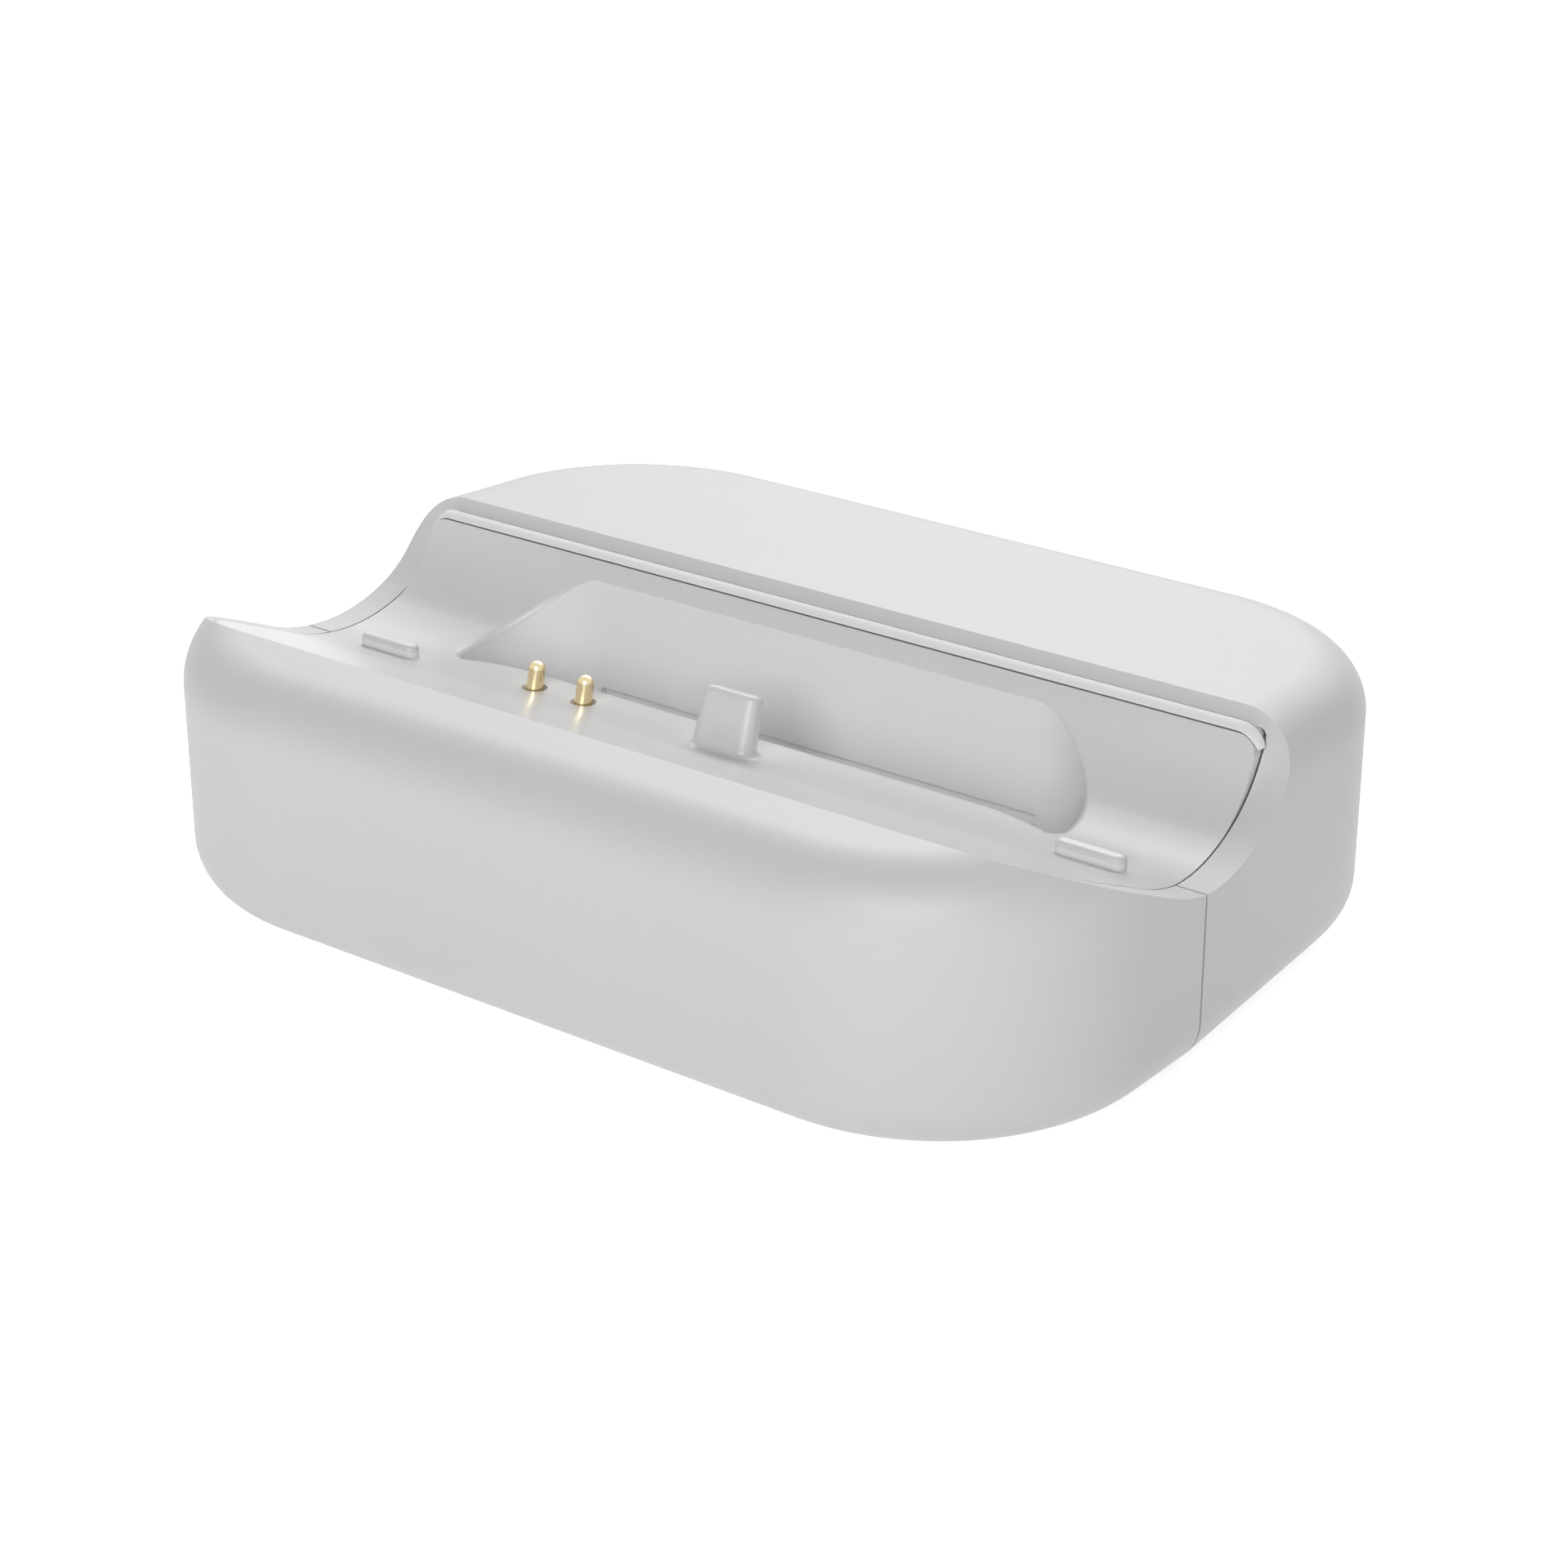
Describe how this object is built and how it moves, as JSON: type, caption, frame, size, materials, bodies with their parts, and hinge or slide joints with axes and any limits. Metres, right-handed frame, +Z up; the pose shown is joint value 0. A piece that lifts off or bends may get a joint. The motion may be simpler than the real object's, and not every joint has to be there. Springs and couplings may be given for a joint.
{
  "type": "charging dock",
  "caption": "Low rounded desk dock with a trough that a hand-held console or controller stands in, spring contacts and a locating peg in its floor, and a cable inlet at the rear.",
  "frame": {"origin": "centre of the bounding box at the plane the feet stand on", "axes": "+Z up, +X to the right of the low front, the front edge towards -Y, the cable inlet towards +Y"},
  "size_m": [0.092, 0.068, 0.0246],
  "materials": {
    "shell_plastic": "white moulded plastic, fine satin",
    "insert_plastic": "white moulded plastic, satin with a faint gloss",
    "base_plastic": "white moulded plastic, fine spark texture",
    "foot_rubber": "light grey silicone rubber",
    "holder_plastic": "black heat resistant plastic",
    "barrel_brass": "turned brass, gold flash",
    "pin_gold": "turned brass, gold plated",
    "spring_steel": "drawn spring wire",
    "board_laminate": "glass laminate under green solder mask",
    "screw_steel": "zinc plated steel",
    "lead_red": "red insulation",
    "lead_black": "black insulation",
    "inlet_steel": "nickel plated drawn steel",
    "tongue_plastic": "black glass filled plastic",
    "chip_black": "black moulding compound",
    "ferrite_grey": "pressed ferrite",
    "capacitor_tan": "fired ceramic chips"
  },
  "bodies": {
    "dock": {"front_shell": "shell_plastic", "rear_shell": "shell_plastic", "cradle_insert": "insert_plastic", "base_plate": "base_plastic", "foot_front_left": "foot_rubber", "foot_front_right": "foot_rubber", "foot_rear_left": "foot_rubber", "foot_rear_right": "foot_rubber", "pin_holder": "holder_plastic", "pin_barrel_left": "barrel_brass", "pin_barrel_right": "barrel_brass", "pin_spring_left": "spring_steel", "pin_spring_right": "spring_steel", "contact_board": "board_laminate", "main_board": "board_laminate", "contact_screws": "screw_steel", "board_screws": "screw_steel", "base_screws": "screw_steel", "lead_positive": "lead_red", "lead_negative": "lead_black", "inlet_shell": "inlet_steel", "inlet_tongue": "tongue_plastic", "charge_chip": "chip_black", "power_inductor": "ferrite_grey", "board_capacitors": "capacitor_tan"},
    "pin_left": {"pin_plunger_left": "pin_gold"},
    "pin_right": {"pin_plunger_right": "pin_gold"}
  },
  "joints": [
    {"name": "pin_left_travel", "type": "slide", "parent": "dock", "child": "pin_left", "axis": [0, 0.2588, 0.9659], "range_m": [-0.0012, 0], "stiffness_N_per_m": 400, "springref_m": 0.0015, "deforming": ["pin_spring_left"]},
    {"name": "pin_right_travel", "type": "slide", "parent": "dock", "child": "pin_right", "axis": [0, 0.2588, 0.9659], "range_m": [-0.0012, 0], "stiffness_N_per_m": 400, "springref_m": 0.0015, "deforming": ["pin_spring_right"]}
  ]
}
